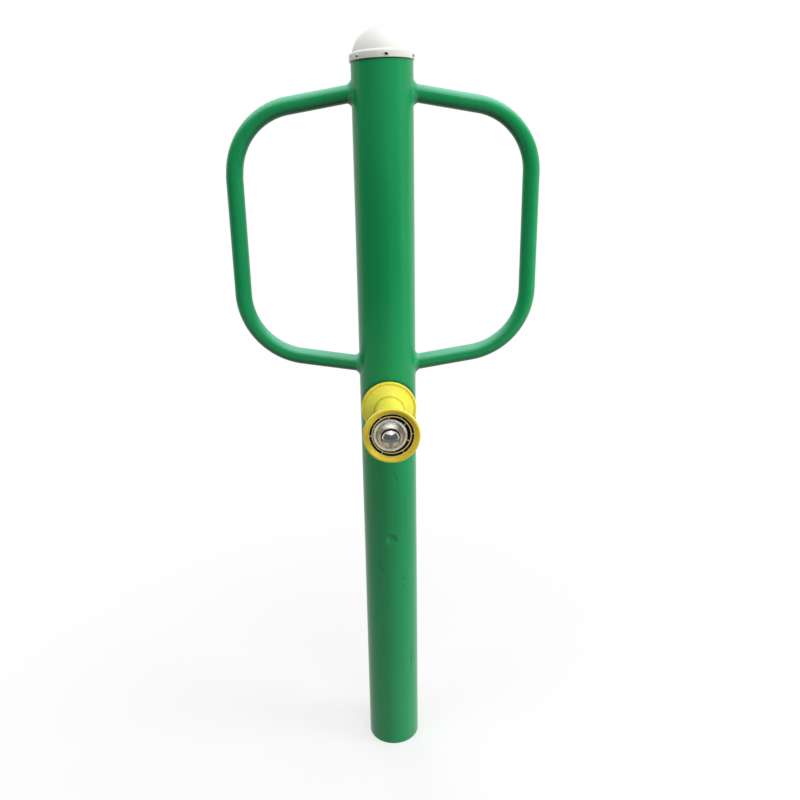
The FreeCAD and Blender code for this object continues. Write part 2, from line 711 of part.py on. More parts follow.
def make_nut():
    """A smooth dome nut with a blind hole for the axle's thread."""
    body = new_body("dome_nut")
    rim = "nut_diameter / 2"
    hole_end = "thread_length + nut_blind_gap"
    turn_outline(body, (
        ("nut_hole_radius", "0"),
        (f"{rim} - nut_bevel", "0"),
        (rim, "nut_bevel"),
        (rim, "nut_base"),
        ("0", "nut_base + nut_dome", f"(({rim}) ^ 2 + nut_dome ^ 2) / (2 * nut_dome)", "left"),
        ("0", hole_end),
        ("nut_hole_radius", hole_end),
    ))
    put_on_axle(body, "nut_seat")


def write_parts():
    """Checks every object of the document, then writes one file for each sub-part."""
    for thing in document.Objects:
        if {"Invalid", "Error"} & set(thing.State):
            raise RuntimeError(f"{thing.Label} failed: {thing.State} {thing.getStatusString()}")
    for thing in parts:
        if thing.Shape.isNull() or not thing.Shape.isValid() or not thing.Shape.Solids:
            raise RuntimeError(f"{thing.Label} has no valid shape")
    os.makedirs("parts", exist_ok=True)
    for thing in parts:
        thing.Shape.exportStep(f"parts/{thing.Label}.step")
        print(f"{thing.Label}: {len(thing.Shape.Solids)} solids, {thing.Shape.Volume:.0f} mm3")


fill_sheet("dims", DIMENSIONS)
places = fill_sheet("places", PLACES)
make_post()
for label, side in (("left", -1), ("right", 1)):
    make_handle(f"{label}_handle", side)
    make_handle_welds(f"{label}_handle_welds", side)
make_cap()
make_rivets()
make_axle()
make_axle_weld("axle_front_weld", 1)
make_axle_weld("axle_rear_weld", -1)
make_spool()
make_insert("front_insert_ring", "front_face", 1)
make_insert("rear_insert_ring", "rear_face", -1)
make_bearing("front_bearing", "front_bearing_front - bearing_width / 2")
make_bearing("rear_bearing", "rear_bearing_back + bearing_width / 2")
make_sleeve("bearing_spacer", "rear_bearing_front", "front_bearing_back")
make_sleeve("cover_spacer", "front_bearing_front", "nut_seat - cover_thickness")
make_cover()
make_nut()
document.recompute()
write_parts()
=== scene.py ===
import math
import random

import bpy
from mathutils import Matrix, Vector, noise


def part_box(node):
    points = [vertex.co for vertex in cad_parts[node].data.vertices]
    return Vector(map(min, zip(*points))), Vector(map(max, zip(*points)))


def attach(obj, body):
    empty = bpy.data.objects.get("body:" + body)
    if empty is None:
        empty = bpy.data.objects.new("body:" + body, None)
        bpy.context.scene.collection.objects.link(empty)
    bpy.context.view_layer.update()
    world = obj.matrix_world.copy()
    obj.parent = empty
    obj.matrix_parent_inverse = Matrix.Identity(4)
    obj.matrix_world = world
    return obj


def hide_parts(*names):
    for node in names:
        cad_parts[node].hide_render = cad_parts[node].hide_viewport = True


# Looks of the outdoor fitness post: paint, moulded plastic, bright metal, weld beads and small marks.
# Metres, with the post's axis at X = Y = 0, the ground at Z = 0 and the roller towards -Y

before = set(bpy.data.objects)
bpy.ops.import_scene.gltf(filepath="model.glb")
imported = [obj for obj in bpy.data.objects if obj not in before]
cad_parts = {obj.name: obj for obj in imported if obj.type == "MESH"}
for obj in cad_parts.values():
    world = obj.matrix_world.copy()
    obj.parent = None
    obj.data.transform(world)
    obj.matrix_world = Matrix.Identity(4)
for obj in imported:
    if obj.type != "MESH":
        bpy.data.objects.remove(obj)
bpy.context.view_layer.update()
MM = 0.001

# Places that the frame gives
POST_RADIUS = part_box("post")[1].x
POST_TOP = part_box("post")[1].z
TUBE_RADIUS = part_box("left_handle")[1].y
HANDLE_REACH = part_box("right_handle")[1].x - TUBE_RADIUS
AXLE_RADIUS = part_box("axle")[1].x
AXLE_HEIGHT = (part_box("axle")[0].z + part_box("axle")[1].z) / 2
FRONT_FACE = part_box("roller_spool")[0].y
REAR_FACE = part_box("roller_spool")[1].y
COLLAR_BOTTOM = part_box("dome_cap")[0].z
DOME_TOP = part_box("dome_cap")[1].z
COLLAR_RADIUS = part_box("dome_cap")[1].x

# The camera that took the photograph, fitted to the post's edges and the handles
CAMERA_PLACE = (-0.0360, -1.4952, 1.3288)
CAMERA_PITCH, CAMERA_YAW, CAMERA_ROLL = 18.426, 2.318, -0.770
FOCAL_LENGTH, SENSOR_WIDTH = 34.20, 36.0

# The cap sits a little askew: higher on its right side and at its front
CAP_TILT, CAP_NOD = math.radians(1.6), math.radians(-1.45)

# The bright cover and its nut sit a little left of the middle of the roller
OFF_CENTRE = (-2.4 * MM, 0, 0)

# Sizes that the frame doesn't give
POST_WALL, TUBE_WALL = 3 * MM, 2.5 * MM
DOME_CENTRE = COLLAR_BOTTOM + 3.5 * MM
RIVET_HEIGHT = COLLAR_BOTTOM + 4.8 * MM
RIVET_AZIMUTHS = (6.2, 68.6, 128.0, 189.5, 248.0, 312.5)
FRONT_RIM, REAR_RIM = 52.0, 54.5

# A lathe's point with a smaller radius than this lies on the axis
ON_AXIS = 1e-7


def smooth(value, low, high):
    """0 below low, 1 above high, and a soft step between them."""
    share = min(max((value - low) / (high - low), 0.0), 1.0)
    return share * share * (3 - 2 * share)


def new_mesh(name, points, faces, materials, face_materials=None, sharp_angle=35):
    """A mesh object with smooth shading, apart from the edges that turn by more than an angle."""
    mesh = bpy.data.meshes.new(name)
    mesh.from_pydata(points, [], faces)
    for material in materials:
        mesh.materials.append(material)
    if face_materials:
        mesh.polygons.foreach_set("material_index", face_materials)
    mesh.shade_smooth()
    mesh.set_sharp_from_angle(angle=math.radians(sharp_angle))
    mesh.validate()
    piece = bpy.data.objects.new(name, mesh)
    bpy.context.scene.collection.objects.link(piece)
    return piece


def grid_faces(rows, columns):
    """Quads between rows of points. Rows and columns both close on themselves."""
    faces = []
    for row in range(rows):
        base, following = row * columns, (row + 1) % rows * columns
        for column in range(columns):
            right = (column + 1) % columns
            faces.append((base + column, base + right, following + right, following + column))
    return faces


def add_piece(piece, slot, body, *nodes):
    """Puts a finished piece on its body, in place of the CAD nodes that it stands for."""
    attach(piece, body)
    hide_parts(*nodes)


def rounded(corners, steps=5):
    """An outline of (radius, height, rounding) corners, with an arc where a corner has a rounding."""
    points = []
    count = len(corners)
    for index, (across, along, rounding) in enumerate(corners):
        corner = Vector((across, along))
        if not rounding:
            points.append(corner)
            continue
        before = Vector(corners[index - 1][:2]) - corner
        after = Vector(corners[(index + 1) % count][:2]) - corner
        opening = before.angle(after)
        reach = rounding / math.tan(opening / 2)
        reach = min(reach, before.length * 0.49, after.length * 0.49)
        rounding = reach * math.tan(opening / 2)
        before.normalize()
        after.normalize()
        centre = corner + (before + after).normalized() * (rounding / math.sin(opening / 2))
        start, finish = corner + before * reach - centre, corner + after * reach - centre
        turn = start.angle_signed(finish)
        for step in range(steps + 1):
            points.append(centre + Matrix.Rotation(-turn * step / steps, 2) @ start)
    return points


def in_metres(points):
    """Outline points that are given in millimetres."""
    return [(across * MM, along * MM) for across, along in points]


def lathe(name, outline, materials, segments=160, face_material=None):
    """Turns a closed outline of (radius, height) points round Z. Points on the axis become one point."""
    points, starts = [], []
    for across, along in outline:
        starts.append(len(points))
        if across < ON_AXIS:
            points.append((0, 0, along))
            continue
        for step in range(segments):
            angle = 2 * math.pi * step / segments
            points.append((across * math.sin(angle), -across * math.cos(angle), along))
    faces, face_materials = [], []
    for row in range(len(outline)):
        following = (row + 1) % len(outline)
        on_axis, next_on_axis = outline[row][0] < ON_AXIS, outline[following][0] < ON_AXIS
        if on_axis and next_on_axis:
            continue
        kind = face_material(row) if face_material else 0
        for step in range(segments):
            right = (step + 1) % segments
            low, high = starts[row], starts[following]
            if on_axis:
                faces.append((low, high + right, high + step))
            elif next_on_axis:
                faces.append((low + step, low + right, high))
            else:
                faces.append((low + step, low + right, high + right, high + step))
            face_materials.append(kind)
    return new_mesh(name, points, faces, materials, face_materials)


def lay_on_axle(piece, face, outward=1):
    """Turns a lathed piece's Z axis to the front (-Y) or the back, and puts its origin on the axle."""
    turned = Matrix.Rotation(math.radians(90 * outward), 4, "X")
    piece.data.transform(Matrix.Translation((0, face, AXLE_HEIGHT)) @ turned)
    return piece


def fill(tree, socket, value):
    """Joins an input to another node's output, or gives it a value of its own."""
    if isinstance(value, bpy.types.NodeSocket):
        tree.links.new(value, socket)
    else:
        socket.default_value = value


def add_node(tree, kind, inputs=None, **properties):
    """A node with its properties, and its inputs by name or number, as values or as other outputs."""
    node = tree.nodes.new(kind)
    for name, value in properties.items():
        setattr(node, name, value)
    for name, value in (inputs or {}).items():
        fill(tree, node.inputs[name], value)
    return node


class Finish:
    """The nodes of one material, with short calls that add and join them."""

    def __init__(self, name, colour, **settings):
        self.material = bpy.data.materials.new(name)
        self.material.use_nodes = True
        self.tree = self.material.node_tree
        self.surface = self.tree.nodes["Principled BSDF"]
        self.set_surface("Base Color", (*colour, 1))
        for socket, value in settings.items():
            self.set_surface(socket.replace("_", " "), value)
        self.place = self.add("ShaderNodeTexCoord").outputs["Object"]
        split = self.add("ShaderNodeSeparateXYZ", {"Vector": self.place})
        self.x, self.y, self.z = split.outputs

    def set_surface(self, socket, value):
        fill(self.tree, self.surface.inputs[socket], value)

    def add(self, kind, inputs=None, **properties):
        return add_node(self.tree, kind, inputs, **properties)

    def math(self, operation, *values, clamp=False):
        inputs = dict(enumerate(values))
        return self.add("ShaderNodeMath", inputs, operation=operation, use_clamp=clamp).outputs[0]

    def apart(self, value, middle):
        """How far a value lies from a middle, on either side."""
        return self.math("ABSOLUTE", self.math("SUBTRACT", value, middle))

    def distance(self, across, up):
        """The distance that two measures at right angles make."""
        squares = [self.math("MULTIPLY", value, value) for value in (across, up)]
        return self.math("SQRT", self.math("ADD", *squares))

    def over_axle(self):
        """Height over the axle."""
        return self.math("SUBTRACT", self.z, AXLE_HEIGHT)

    def vector_math(self, operation, *values, output="Vector"):
        node = self.add("ShaderNodeVectorMath", dict(enumerate(values)), operation=operation)
        return node.outputs[output]

    def ramp(self, value, low, high, start=0.0, finish=1.0):
        """A soft step from start at low to finish at high."""
        inputs = {"Value": value, "From Min": low, "From Max": high, "To Min": start, "To Max": finish}
        return self.add("ShaderNodeMapRange", inputs, interpolation_type="SMOOTHSTEP").outputs["Result"]

    def noise(self, scale, detail, place=None):
        """Fractal noise from 0 to 1, with a scale in features per metre."""
        inputs = {"Vector": place or self.place, "Scale": scale, "Detail": detail}
        return self.add("ShaderNodeTexNoise", inputs).outputs[0]

    def stretched(self, across, along):
        """The place, with its own scale across and along Z, for noise that runs down the surface."""
        return self.vector_math("MULTIPLY", self.place, (across, across, along))

    def mix(self, share, first, second):
        """A colour between two colours."""
        first, second = [(*value, 1) if isinstance(value, tuple) else value for value in (first, second)]
        return self.add("ShaderNodeMix", {0: share, 6: first, 7: second}, data_type="RGBA").outputs[2]

    def bump(self, *layers):
        """Stacks (height, strength, distance) layers of fine relief on the surface."""
        normal = None
        for height, strength, distance in layers:
            inputs = {"Height": height, "Strength": strength, "Distance": distance}
            if normal:
                inputs["Normal"] = normal
            normal = self.add("ShaderNodeBump", inputs).outputs["Normal"]
        self.set_surface("Normal", normal)

    def near_line(self, place, start, finish, width):
        """1 on the line between two points of a surface, and 0 beyond its half width."""
        start, finish = Vector((*start, 0)), Vector((*finish, 0))
        run = finish - start
        away = self.vector_math("SUBTRACT", place, tuple(start))
        reached = self.vector_math("DOT_PRODUCT", away, tuple(run), output="Value")
        share = self.math("DIVIDE", reached, run.length_squared, clamp=True)
        scaled = self.add("ShaderNodeVectorMath", {0: tuple(run), "Scale": share}, operation="SCALE")
        gap = self.vector_math("DISTANCE", away, scaled.outputs[0], output="Value")
        return self.ramp(gap, width * 0.35, width, 1.0, 0.0)


# Marks on the front of the post: (degrees round it from -Y, height in metres) of two ends, and half width
SCRATCHES = (
    ((14.4, 0.6740), (6.2, 0.6929), 1.3 * MM),
    ((-29.9, 0.4782), (-24.8, 0.4740), 1.8 * MM),
    ((-25.4, 0.4658), (-17.8, 0.4610), 1.9 * MM),
    ((-36.0, 0.4302), (-28.5, 0.4298), 1.3 * MM),
    ((26.0, 0.4395), (26.4, 0.4378), 2.6 * MM),
    ((26.0, 0.4195), (26.6, 0.4180), 1.6 * MM),
    ((49.5, 0.2678), (46.0, 0.2200), 1.3 * MM),
    ((47.2, 0.2490), (46.9, 0.2460), 2.2 * MM),
    ((46.3, 0.2240), (45.7, 0.2170), 2.4 * MM),
    ((45.7, 0.2170), (42.5, 0.1955), 0.9 * MM),
)
DENT_AZIMUTH, DENT_HEIGHT, DENT_DEPTH = 1.8, 0.538, 3.6 * MM

GREEN = (0.008, 0.300, 0.092)
GREEN_WORN = (0.013, 0.335, 0.110)
GREEN_DARK = (0.003, 0.090, 0.030)
# Painted shade: the darker green of the marks, for the shade in their nicks
GREEN_SCRATCH_SHADE = (0.001, 0.120, 0.050)
GREEN_DUSTY = (0.040, 0.360, 0.135)
GREEN_BEAD = (0.020, 0.370, 0.140)
# Painted sheen: the paler green that surfaces facing up are painted with
GREEN_TOP_SHEEN = (0.190, 0.620, 0.410)


def make_green(name, colour=GREEN, marks=(), gloss=0.24):
    """Green powder coat: orange peel, slow changes of tone, faint runs and the post's marks. What faces
    up is painted paler, a painted sheen of the bright sky, and what faces down is painted deeper green as
    painted shade."""
    paint = Finish(name, colour, Specular_IOR_Level=gloss)
    clouds = paint.noise(7.0, 4.0, paint.stretched(1.0, 0.35))
    colour = paint.mix(paint.ramp(clouds, 0.35, 0.70), colour, GREEN_WORN)
    streaks = paint.noise(95.0, 2.0, paint.stretched(1.0, 0.03))
    colour = paint.mix(paint.ramp(streaks, 0.50, 0.80, 0.0, 0.16), colour, GREEN_DARK)
    specks = paint.noise(420.0, 1.0)
    colour = paint.mix(paint.ramp(specks, 0.70, 0.78, 0.0, 0.35), colour, GREEN_DARK)
    facing = paint.add("ShaderNodeNewGeometry").outputs["Normal"]
    upward = paint.add("ShaderNodeSeparateXYZ", {"Vector": facing})
    # Painted sheen: surfaces that face up are painted paler, for the sky's reflection on them
    upward_sheen_level = paint.math("ADD", upward.outputs[2], paint.ramp(clouds, 0.2, 0.8, -0.06, 0.06))
    colour = paint.mix(paint.ramp(upward_sheen_level, 0.20, 0.86, 0.0, 0.90), colour, GREEN_TOP_SHEEN)
    # Painted shade: surfaces that face down are painted deeper green
    colour = paint.mix(paint.ramp(upward.outputs[2], -0.75, -0.05, 0.65, 0.0), colour, GREEN_DARK)
    peel = paint.noise(330.0, 2.0)
    waves = paint.noise(26.0, 2.0)
    layers = [(waves, 0.25, 0.0012), (peel, 0.16, 0.0004)]
    if marks:
        dust = paint.math("MULTIPLY", paint.ramp(paint.z, 0.05, 0.75, 0.55, 0.0),
                          paint.ramp(clouds, 0.25, 0.65, 0.5, 1.0))
        colour = paint.mix(dust, colour, GREEN_DUSTY)
        colour = paint.mix(collar_shade(paint), colour, GREEN_DARK)
        colour = paint.mix(roller_shade(paint), colour, GREEN_DARK)
        hit = on_marks(paint, marks)
        # The marks are real nicks with their own bump; their darker green is painted shade in them
        colour = paint.mix(paint.math("MULTIPLY", hit, 0.85), colour, GREEN_SCRATCH_SHADE)
        layers.append((paint.math("SUBTRACT", 1.0, hit), 0.35, 0.0006))
    paint.set_surface("Base Color", colour)
    paint.set_surface("Roughness", paint.ramp(clouds, 0.30, 0.75, 0.22, 0.32))
    paint.bump(*layers)
    return paint.material


def on_marks(paint, marks):
    """1 on the ragged lines of the marks, and 0 beside them."""
    shaken = 1.2 * MM
    azimuth = paint.math("ARCTAN2", paint.x, paint.math("MULTIPLY", paint.y, -1.0))
    across = paint.math("MULTIPLY", azimuth, POST_RADIUS)
    place = paint.add("ShaderNodeCombineXYZ", {"X": across, "Y": paint.z}).outputs[0]
    shake = paint.add("ShaderNodeTexNoise", {"Vector": paint.place, "Scale": 300.0}).outputs["Color"]
    ragged = paint.vector_math("ADD", place, paint.vector_math("MULTIPLY", shake, (shaken, shaken, 0.0)))
    hit = None
    for start, finish, width in marks:
        ends = [(math.radians(azimuth) * POST_RADIUS + shaken / 2, height + shaken / 2)
                for azimuth, height in (start, finish)]
        line = paint.near_line(ragged, *ends, width)
        hit = line if hit is None else paint.math("MAXIMUM", hit, line)
    return hit


def collar_shade(paint):
    """Painted shadow: a dark line on the post right under the cap's collar, where the collar shades it.
    """
    upright = (-math.tan(CAP_TILT), -math.tan(CAP_NOD), 1.0)
    level = paint.vector_math("DOT_PRODUCT", paint.place, upright, output="Value")
    return paint.ramp(level, COLLAR_BOTTOM - 2.6 * MM, COLLAR_BOTTOM - 1.0 * MM, 0.0, 0.9)


def roller_shade(paint):
    """Painted shade: a dark ring on the post behind the roller's rear rim, where the roller shades the
    post.
    """
    distance = paint.distance(paint.x, paint.over_axle())
    front = paint.ramp(paint.y, -20 * MM, 0.0, 1.0, 0.0)
    return paint.math("MULTIPLY", front, paint.ramp(distance, 52.5 * MM, 57.0 * MM, 0.8, 0.0))


IVORY = (0.950, 0.943, 0.895)
IVORY_AGED = (0.945, 0.935, 0.820)
GRIME = (0.060, 0.040, 0.018)


def make_white():
    """White moulded plastic: a little yellow with age, with rain marks and dirt at the collar's foot."""
    plastic = Finish("white_cap_plastic", IVORY, Subsurface_Weight=0.25, Subsurface_Scale=0.02,
                     Subsurface_Radius=(1.0, 0.95, 0.8), Specular_IOR_Level=0.4)
    clouds = plastic.noise(14.0, 3.0)

    def up_from_foot(reach, most, least):
        return plastic.ramp(plastic.z, COLLAR_BOTTOM, COLLAR_BOTTOM + reach, most, least)

    aged = plastic.math("MULTIPLY", up_from_foot(30 * MM, 0.85, 0.0),
                        plastic.ramp(clouds, 0.2, 0.8, 0.6, 1.0))
    colour = plastic.mix(aged, IVORY, IVORY_AGED)
    runs = plastic.noise(70.0, 2.0, plastic.stretched(1.0, 0.12))
    rain = plastic.math("MULTIPLY", up_from_foot(18 * MM, 1.0, 0.25),
                        plastic.ramp(runs, 0.55, 0.85, 0.0, 0.22))
    colour = plastic.mix(rain, colour, GRIME)
    plastic.set_surface("Base Color", plastic.mix(up_from_foot(1.6 * MM, 0.35, 0.0), colour, GRIME))
    plastic.set_surface("Roughness", plastic.ramp(clouds, 0.3, 0.7, 0.30, 0.40))
    plastic.bump((plastic.noise(40.0, 2.0), 0.2, 0.0008), (plastic.noise(600.0, 1.0), 0.08, 0.0002))
    return plastic.material


YELLOW = (0.965, 0.905, 0.110)
YELLOW_DEEP = (0.940, 0.810, 0.065)
GOLDEN = (0.930, 0.720, 0.050)
# Painted highlight colour for the lip round the recess
GOLDEN_LIP_HIGHLIGHT = (0.950, 0.810, 0.300)
# Painted shade colour for the crease between flank and waist
OLIVE_CREASE_SHADE = (0.560, 0.490, 0.020)
TAN = (0.950, 0.780, 0.350)
TAN_DEEP = (0.780, 0.580, 0.200)


def make_yellow(name="yellow_moulding", colour=YELLOW, deep=YELLOW_DEEP, dirt=0.25, ends=True):
    """Yellow moulded plastic, with a fine grain and scuffs. The roller's hollow ends are more golden."""
    plastic = Finish(name, colour, Subsurface_Weight=0.3, Subsurface_Scale=0.008,
                     Subsurface_Radius=(1.0, 0.55, 0.1), Specular_IOR_Level=0.4)
    clouds = plastic.noise(22.0, 4.0)
    mixed = plastic.mix(plastic.ramp(clouds, 0.35, 0.75, 0.0, 0.55), colour, deep)
    if ends:
        mixed = end_tones(plastic, mixed)
    scuffs = plastic.noise(160.0, 3.0, plastic.vector_math("MULTIPLY", plastic.place, (1.0, 0.12, 1.0)))
    mixed = plastic.mix(plastic.ramp(scuffs, 0.60, 0.82, 0.0, dirt), mixed, GRIME)
    plastic.set_surface("Base Color", mixed)
    plastic.set_surface("Roughness", plastic.ramp(scuffs, 0.35, 0.75, 0.32, 0.50))
    plastic.bump((plastic.noise(60.0, 2.0), 0.15, 0.0006), (plastic.noise(900.0, 1.0), 0.10, 0.0002))
    return plastic.material


def end_tones(plastic, colour):
    """Golden end faces, a painted highlight on the lip round the recess, and painted shade in the crease
    between flank and waist.
    """
    distance = plastic.distance(plastic.x, plastic.over_axle())
    middle, half = (FRONT_FACE + REAR_FACE) / 2, (REAR_FACE - FRONT_FACE) / 2
    along = plastic.apart(plastic.y, middle)
    end = plastic.ramp(along, half - 9.5 * MM, half - 8.5 * MM)
    hollow = plastic.math("MULTIPLY", end, plastic.ramp(distance, 50.0 * MM, 52.6 * MM, 1.0, 0.1))
    colour = plastic.mix(hollow, colour, GOLDEN)
    # Painted highlight: a pale ring where the recess's edge catches light
    lip = plastic.ramp(plastic.apart(distance, 41.2 * MM), 0.5 * MM, 1.1 * MM, 0.8, 0.0)
    colour = plastic.mix(plastic.math("MULTIPLY", end, lip), colour, GOLDEN_LIP_HIGHLIGHT)
    # Painted shade: an olive line in the crease between flank and waist
    skin = plastic.ramp(distance, 27.0 * MM, 27.6 * MM, 0.0, 0.9)
    line = plastic.ramp(plastic.apart(along, half - 22.6 * MM), 1.0 * MM, 3.6 * MM, 1.0, 0.0)
    return plastic.mix(plastic.math("MULTIPLY", skin, line), colour, OLIVE_CREASE_SHADE)


def make_grease_and_shade():
    """The same plastic deep in the grooves, darkened by old grease and dust and by painted shade where
    light hardly reaches.
    """
    dirt = Finish("grease_and_shade_dark", (0.030, 0.014, 0.004), Roughness=0.62, Specular_IOR_Level=0.1)
    crust = dirt.noise(260.0, 4.0)
    share = dirt.ramp(crust, 0.45, 0.80)
    dirt.set_surface("Base Color", dirt.mix(share, (0.030, 0.015, 0.003), (0.190, 0.110, 0.018)))
    dirt.bump((crust, 0.5, 0.0006))
    return dirt.material


# Painted shade colour for the dark rings in the turned metal
BLACK_RING_SHADE = (0.020, 0.016, 0.012)


def make_metal(name, colour, roughness, stain_and_reflection, brushed=None, low_reflection=None, reflection_streak=None, ring=None):
    """Metal with smudges and fine turning marks. Low reflection, (share, low, high), is painted
    reflection: the metal turns darker and browner below a height over the axle, for the darker things
    round it. A reflection streak is a painted reflection that runs darker down the middle. A ring,
    (radius, half width, share), is painted shade in a corner of the turned shape."""
    metal = Finish(name, colour, Metallic=1.0)
    smudge = metal.noise(45.0, 4.0)
    share = metal.ramp(smudge, 0.40, 0.75, 0.0, 0.30)
    up = metal.over_axle()
    # Painted reflection: darker and browner below a height over the axle, for the darker surroundings
    if low_reflection:
        most, low, high = low_reflection
        reflected_low = metal.math("MULTIPLY", metal.ramp(up, low, high, most, 0.0),
                             metal.ramp(smudge, 0.25, 0.60, 0.85, 1.0))
        share = metal.math("MAXIMUM", share, reflected_low)
    # Painted reflection: a darker run down the middle and a dark band just under the axle's height
    if reflection_streak:
        sideways = metal.apart(metal.x, OFF_CENTRE[0])
        ragged = metal.math("ADD", sideways, metal.ramp(smudge, 0.2, 0.8, -2 * MM, 2 * MM))
        run = metal.math("MULTIPLY", metal.ramp(ragged, 1.0 * MM, 6.5 * MM, 0.9, 0.0),
                         metal.ramp(up, -16 * MM, -7 * MM, 0.2, 1.0))
        reflected_band = metal.ramp(up, -5 * MM, -0.5 * MM, 0.0, 0.9)
        stain_and_reflection = metal.mix(metal.math("MAXIMUM", run, reflected_band), stain_and_reflection, reflection_streak)
    colour = metal.mix(share, colour, stain_and_reflection)
    # Painted shade: a dark ring in a corner of the turned shape
    if ring:
        radius, half, ring_shade = ring
        around = metal.distance(metal.math("SUBTRACT", metal.x, OFF_CENTRE[0]), up)
        off = metal.apart(around, radius)
        colour = metal.mix(metal.ramp(off, half * 0.5, half, ring_shade, 0.0), colour, BLACK_RING_SHADE)
    metal.set_surface("Base Color", colour)
    metal.set_surface("Roughness", metal.ramp(smudge, 0.30, 0.75, roughness, roughness * 1.8))
    layers = [(metal.noise(1100.0, 1.0), 0.03, 0.0001)]
    if brushed:
        turned = {"X": metal.distance(metal.x, up), "Y": metal.y}
        rings = metal.add("ShaderNodeCombineXYZ", turned).outputs[0]
        layers.append((metal.noise(brushed, 2.0, rings), 0.12, 0.0002))
    metal.bump(*layers)
    return metal.material


def make_rubber():
    """Black nitrile rubber with a dull, dusty bloom."""
    rubber = Finish("seal_rubber_black", (0.012, 0.012, 0.013), Roughness=0.55)
    bloom = rubber.noise(90.0, 4.0)
    share = rubber.ramp(bloom, 0.4, 0.8)
    rubber.set_surface("Base Color", rubber.mix(share, (0.010, 0.010, 0.011), (0.050, 0.047, 0.042)))
    rubber.bump((rubber.noise(700.0, 2.0), 0.2, 0.0002))
    return rubber.material


green_post = make_green("green_powder_coat_post", marks=SCRATCHES)
green = make_green("green_powder_coat")
green_bead = make_green("green_powder_coat_bead", GREEN_BEAD, gloss=0.45)
white = make_white()
yellow = make_yellow()
tan_ring = make_yellow("insert_moulding", TAN, TAN_DEEP, 0.35, ends=False)
grease_and_shade = make_grease_and_shade()
# Cover and nut: painted reflection low down, a painted reflection streak on the nut, and painted shade
# rings
chrome = make_metal("polished_stainless", (0.945, 0.940, 0.930), 0.32, (0.560, 0.490, 0.410),
                    low_reflection=(0.9, -2 * MM, 17 * MM), ring=(26.0 * MM, 0.8 * MM, 0.4))
nut_chrome = make_metal("polished_nut", (0.800, 0.790, 0.780), 0.12, (0.350, 0.305, 0.255),
                        low_reflection=(0.95, 0.5 * MM, 4 * MM), reflection_streak=(0.070, 0.060, 0.048),
                        ring=(18.2 * MM, 2.7 * MM, 1.0))
steel = make_metal("ground_steel", (0.56, 0.56, 0.57), 0.22, (0.34, 0.30, 0.26), brushed=1500.0)
cage_steel = make_metal("pressed_steel", (0.50, 0.50, 0.52), 0.30, (0.32, 0.29, 0.26))
aluminium = make_metal("rivet_aluminium_bright", (0.82, 0.81, 0.78), 0.30, (0.55, 0.52, 0.46))
rubber = make_rubber()


def make_post():
    """The post's tube: rolled foot edge, a hand sized dent low on its front and very slight waves."""
    columns, edge, chamfer, fine, coarse = 320, 1.0 * MM, 0.6 * MM, 1.25 * MM, 12 * MM
    outside = [(POST_RADIUS - edge * (1 - math.sin(turn)), edge * (1 - math.cos(turn)))
               for turn in [math.pi / 2 * step / 5 for step in range(6)]]
    height = edge
    while height < POST_TOP - 20 * MM:
        height += fine if abs(height - DENT_HEIGHT) < 32 * MM else coarse
        outside.append((POST_RADIUS, height))
    outside.append((POST_RADIUS, POST_TOP))
    inside_radius = POST_RADIUS - POST_WALL
    inside = [(inside_radius, POST_TOP * (1 - step / 12)) for step in range(12)]
    inside += [(inside_radius, chamfer), (inside_radius + chamfer, 0)]
    points = []
    for radius, height in outside + inside:
        for column in range(columns):
            azimuth = 2 * math.pi * column / columns
            push = 0.0
            if radius > inside_radius + POST_WALL / 2 and edge < height < POST_TOP:
                push = post_relief(azimuth if azimuth < math.pi else azimuth - 2 * math.pi, height)
            reach = radius + push
            points.append((reach * math.sin(azimuth), -reach * math.cos(azimuth), height))
    faces = grid_faces(len(outside) + len(inside), columns)
    add_piece(new_mesh("post_tube", points, faces, [green_post]), "green_paint", "stand", "post")


def post_relief(azimuth, height):
    """How far the post's surface stands out (+) or in (-): its dent, and slow waves all over."""
    wave, half_width = 0.16 * MM, 13.5 * MM
    spot = Vector((math.sin(azimuth) * 1.2, math.cos(azimuth) * 1.2, height * 3.5))
    push = wave * noise.noise(spot)
    across = (azimuth - math.radians(DENT_AZIMUTH)) * POST_RADIUS
    along = height - DENT_HEIGHT
    steep = (across + along) / math.sqrt(2)
    sideways = (across - along) / math.sqrt(2)
    reach = 9.5 * MM if steep > 0 else 16.0 * MM
    gap = math.hypot(steep / reach, sideways / half_width)
    return push - DENT_DEPTH * (1 - smooth(gap, 0.15, 1.10))


# The handle's path: height of each arm where it would cross the post's axis, and its slope
UPPER_ARM, UPPER_SLOPE = POST_TOP - 56 * MM, math.radians(9.6)
LOWER_ARM, LOWER_SLOPE = UPPER_ARM - 529 * MM, math.radians(9.0)
LOWER_BEND_RADIUS = 130 * MM
ROOT_GAP = 0.3 * MM


def bend(corner, toward, away, turn, radius, kink=0.0, straight=0.0):
    """Points and directions of a bend between two runs. It may end in a short straight and a kink."""
    angle = turn - kink
    back = (radius * (1 - math.cos(angle)) + straight * math.sin(angle)) / math.sin(turn)
    front = radius * math.sin(angle) + straight * math.cos(angle) - back * math.cos(turn)
    start = corner - toward * front
    side = (away - toward * math.cos(turn)).normalized()
    steps, half_kink = 44, 5 * MM
    stations = []
    for step in range(steps + 1):
        now = angle * step / steps
        place = start + toward * radius * math.sin(now) + side * radius * (1 - math.cos(now))
        direction = toward * math.cos(now) + side * math.sin(now)
        stations.append((place, direction, math.sin(math.pi * step / steps)))
    if kink:
        last = toward * math.cos(angle) + side * math.sin(angle)
        for share in (0.35, 0.7):
            stations.append((stations[steps][0] + last * straight * share, last, 0.0))
        for share in (-1, -0.5, 0, 0.5, 1):
            direction = (last * (1 - share) + away * (1 + share)).normalized()
            offset = last * min(share, 0) + away * max(share, 0)
            stations.append((corner + away * back + offset * half_kink, direction, 0.0))
    return stations


